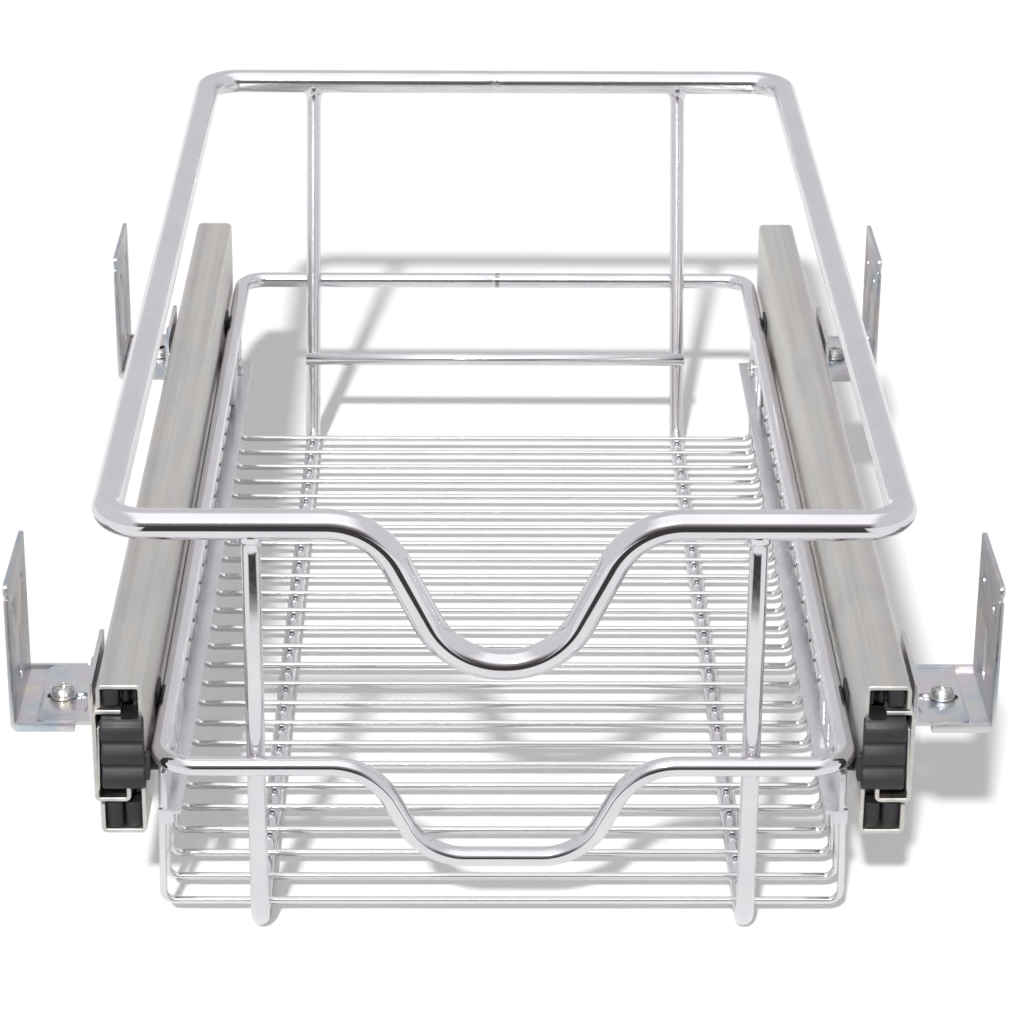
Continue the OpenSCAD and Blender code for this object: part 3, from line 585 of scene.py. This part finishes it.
# ---------------------------------------------------------------- balls
for side, out in SIDES.items():
    for row, spaces in BALL_ROWS.items():
        bm = bmesh.new()
        for v, gap in spaces:
            for i in range(BALL_COUNT):
                y = SLIDE_FRONT + CAGE_BACK + (i + 0.5) * BALL_PITCH
                centre = rail_point(out)(BALL_U, y, v + gap / 2)
                bmesh.ops.create_uvsphere(bm, u_segments=24, v_segments=14,
                                          radius=(gap / 2 - BALL_PLAY) * MM,
                                          matrix=Matrix.Translation(centre))
        mesh_object(side + "_" + row + "_ball_set", bm, side + "_" + row + "_ball_row", "ball_steel",
                    [side + "_" + row + "_balls"], 60)


# ---------------------------------------------------------------- plastic at the runners' front
def prism(bm, outline, levels, place):
    """A solid with the outline (a, b) at each level (c, inset); place makes (a, b, c) a point."""
    low = [min(q[i] for q in outline) for i in (0, 1)]
    high = [max(q[i] for q in outline) for i in (0, 1)]
    middle = [(low[i] + high[i]) / 2 for i in (0, 1)]
    reach = [(high[i] - low[i]) / 2 for i in (0, 1)]
    rings = []
    for c, inset in levels:
        shares = [1 - inset / reach[i] for i in (0, 1)]
        rings.append([bm.verts.new(place(*[middle[i] + (q[i] - middle[i]) * shares[i] for i in (0, 1)], c))
                      for q in outline])
    for a, b in zip(rings, rings[1:]):
        join_rings(bm, a, b)
    bm.faces.new(rings[0][::-1])
    bm.faces.new(rings[-1])


def softened(low, high, edge):
    """Levels for a prism from low to high, whose two end faces have softened edges."""
    return [(low, edge), (low + edge * 0.3, edge * 0.3), (low + edge, 0.0), (high - edge, 0.0),
            (high - edge * 0.3, edge * 0.3), (high, edge)]


def rectangle(a, b):
    return [(a[0], b[0]), (a[1], b[0]), (a[1], b[1]), (a[0], b[1])]


def column(u0, u1, front, back, bulge):
    """Outline of a plug's upright column seen from above, with a rounded front."""
    mid, half_u = (u0 + u1) / 2, (u1 - u0) / 2
    arc = [(mid - half_u * math.cos(math.pi * k / 12), front + bulge * (1 - math.sin(math.pi * k / 12)))
           for k in range(13)]
    return arc + [(u1, back), (u0, back)]


def ribbed_profile():
    """Outline (v, y) of a bumper's ribbed front. The outermost ribs fall back at their ends."""
    profile = [(BUMPER_LOW, FACE)]
    pitch = (BUMPER_HIGH - BUMPER_LOW) / RIBS
    for i in range(RIBS):
        for k in range(RIB_STEPS + 1):
            t = k / RIB_STEPS
            reach = RIB_ROOT + RIB_SWELL * math.sin(math.pi * t ** RIB_SKEW)
            if (i == 0 and t < RIB_END) or (i == RIBS - 1 and t > 1 - RIB_END):
                reach *= RIB_FALL
            profile.append((BUMPER_LOW + (i + 0.02 + 0.96 * t) * pitch, FACE - reach))
    profile.append((BUMPER_HIGH, FACE))
    return profile


for side, out in SIDES.items():
    place = rail_point(out)
    bm = bmesh.new()
    for v0, v1, columns in PLUGS:
        for u0, u1, front_y in columns:
            prism(bm, column(u0, u1, front_y, PLUG_BACK, PLUG_BULGE), softened(v0, v1, PLUG_EDGE), place)
        prism(bm, rectangle(PLUG_U, PLUG_WEB), [(v0, 0.0), (v1, 0.0)], place)
    mesh_object(side + "_plug_set", bm, "basket", "dark_plastic", [side + "_end_plugs"], 40)

    bm = bmesh.new()
    prism(bm, ribbed_profile(), softened(*RIB_U, RIB_EDGE), lambda v, y, u: place(u, y, v))
    prism(bm, rectangle(SHANK_U, (FACE - SHANK_OVERLAP, SHANK_BACK)),
          softened(BUMPER_LOW, BUMPER_HIGH, SHANK_EDGE), place)
    prism(bm, rectangle(NUB_X, NUB_Y), softened(*NUB_Z, NUB_EDGE), lambda x, y, z: at(out * x, y, z))
    mesh_object(side + "_ribbed_bumper", bm, "basket", "dark_plastic", [side + "_front_bumper"], 50)

    # A stop tongue, cut free from the cabinet rail's web and bent out at its upper end
    bm = bmesh.new()
    prism(bm, TONGUE, softened(*TONGUE_Y, TONGUE_EDGE), lambda u, v, y: place(u, y, v))
    mesh_object(side + "_stop_tongue", bm, "cabinet_side", "rail_steel", [], 40)

# ---------------------------------------------------------------- stage
FLOOR_SIZE, FLOOR_DROP, FLOOR_GLOW = 30, 0.0002, 0.12
PALE = (0.86, 0.86, 0.86)
DARK = (0.05, 0.045, 0.05)
# Polished metal sees the floor dark a quarter of a metre in front of itself. In metres: the
# length of the ray and the Y over which it darkens, the half width over which the dark lane
# ends, and the Y in front of which the lane widens, by a share of the distance
DARK_RAY, DARK_Y, LANE_X = (0.268, 0.292), (-0.33, -0.24), (0.14, 0.2)
LANE_Y, LANE_WIDENING = -0.24, 0.15

floor_mesh = bpy.data.meshes.new("floor")
bm = bmesh.new()
bmesh.ops.create_grid(bm, x_segments=1, y_segments=1, size=FLOOR_SIZE)
bm.to_mesh(floor_mesh)
bm.free()
floor = bpy.data.objects.new("floor", floor_mesh)
bpy.context.scene.collection.objects.link(floor)
floor.location.z = -FLOOR_DROP

floor_mat = bpy.data.materials.new("floor")
floor_mat.use_nodes = True
g = Graph(floor_mat.node_tree)
g.nodes.remove(g.nodes["Principled BSDF"])
rays = g.nodes.new("ShaderNodeLightPath").outputs
ground = g.axes(g.object_coordinates())
before = g.math("MINIMUM", g.math("ADD", ground["Y"], -LANE_Y), 0.0)
lane = g.math("ADD", g.math("ABSOLUTE", ground["X"]), g.math("MULTIPLY", before, LANE_WIDENING))
far = g.math("MULTIPLY", g.spread(rays["Ray Length"], 0.0, 1.0, *DARK_RAY),
             g.spread(ground["Y"], 1.0, 0.0, *DARK_Y))
ahead = g.math("MULTIPLY", far, g.spread(lane, 1.0, 0.0, *LANE_X))
tone = g.ramp(g.math("MULTIPLY", ahead, rays["Is Glossy Ray"]), [(0.0, PALE), (1.0, DARK)])
diffuse = g.nodes.new("ShaderNodeBsdfDiffuse")
g.link(tone, diffuse.inputs["Color"])
glow = g.nodes.new("ShaderNodeEmission")
glow.inputs["Color"].default_value = (1, 1, 1, 1)
g.link(g.math("MULTIPLY", rays["Is Camera Ray"], FLOOR_GLOW), glow.inputs["Strength"])
both = g.nodes.new("ShaderNodeAddShader")
g.link(diffuse.outputs[0], both.inputs[0])
g.link(glow.outputs[0], both.inputs[1])
g.link(both.outputs[0], g.nodes["Material Output"].inputs["Surface"])
floor.data.materials.append(floor_mat)

# ---------------------------------------------------------------- studio
# What polished metal sees, by the angle round X from the front horizon upwards, in degrees
LAVENDER = (0.68, 0.665, 0.695)
SHADE = (0.15, 0.135, 0.14)
GREY = (0.34, 0.325, 0.335)
BRIGHT = (1.2, 1.19, 1.2)
STUDIO = [(-180, LAVENDER), (-40, LAVENDER), (-30, DARK), (2, DARK), (14, SHADE), (25, GREY),
          (38, BRIGHT), (103, BRIGHT), (116, LAVENDER), (180, LAVENDER)]
ASIDE = (0.72, 0.71, 0.74)
FILL = (0.41, 0.41, 0.415)
WHITE = (1, 1, 1)

world = bpy.data.worlds.new("studio")
bpy.context.scene.world = world
world.use_nodes = True
g = Graph(world.node_tree)
sky = g.axes(g.nodes.new("ShaderNodeTexCoord").outputs["Generated"])
angle = g.math("ARCTAN2", sky["Z"], g.math("MULTIPLY", sky["Y"], -1.0))
turned = g.math("ADD", g.math("DIVIDE", angle, 2 * math.pi), 0.5)
studio = g.ramp(turned, [(degrees / 360 + 0.5, colour) for degrees, colour in STUDIO])
sideness = g.spread(g.math("ABSOLUTE", sky["X"]), 0.0, 1.0, 0.3, 0.52)
mirrored = g.mix(sideness, studio, ASIDE)
rays = g.nodes.new("ShaderNodeLightPath").outputs
lighting = g.mix(rays["Is Glossy Ray"], FILL, mirrored)
background = g.nodes["Background"]
g.link(g.mix(rays["Is Camera Ray"], lighting, WHITE), background.inputs["Color"])
background.inputs["Strength"].default_value = 1.0

# Key light from the front left and above: shadows fall back and a little to the right
SUN_DIRECTION = Vector((0.22, 1.22, -1.0))
sun_data = bpy.data.lights.new("key", "SUN")
sun_data.energy = 3.25
sun_data.angle = math.radians(3)
sun = bpy.data.objects.new("key", sun_data)
bpy.context.scene.collection.objects.link(sun)
sun.rotation_mode = "QUATERNION"
sun.rotation_quaternion = SUN_DIRECTION.to_track_quat("-Z", "Y")

# ---------------------------------------------------------------- camera
# As fitted to the photograph: place in metres, then pitch, yaw and roll in degrees
CAMERA_PLACE = (-0.01147, -1.22096, 0.59356)
CAMERA_TURNS = (24.05, 0.79, 0.44)
camera_data = bpy.data.cameras.new("camera")
camera_data.lens = 120
camera_data.sensor_width = 36
camera_data.clip_end = 100
camera = bpy.data.objects.new("camera", camera_data)
bpy.context.scene.collection.objects.link(camera)
pitch, yaw, roll = (math.radians(v) for v in CAMERA_TURNS)
forward = Vector((math.sin(yaw) * math.cos(pitch), math.cos(yaw) * math.cos(pitch), -math.sin(pitch)))
right = Vector((math.cos(yaw), -math.sin(yaw), 0))
down = forward.cross(right)
rolled_right = right * math.cos(roll) - down * math.sin(roll)
rolled_down = right * math.sin(roll) + down * math.cos(roll)
camera.matrix_world = Matrix((
    (rolled_right.x, -rolled_down.x, -forward.x, CAMERA_PLACE[0]),
    (rolled_right.y, -rolled_down.y, -forward.y, CAMERA_PLACE[1]),
    (rolled_right.z, -rolled_down.z, -forward.z, CAMERA_PLACE[2]),
    (0, 0, 0, 1)))
bpy.context.scene.camera = camera
bpy.context.scene.view_settings.view_transform = "Standard"
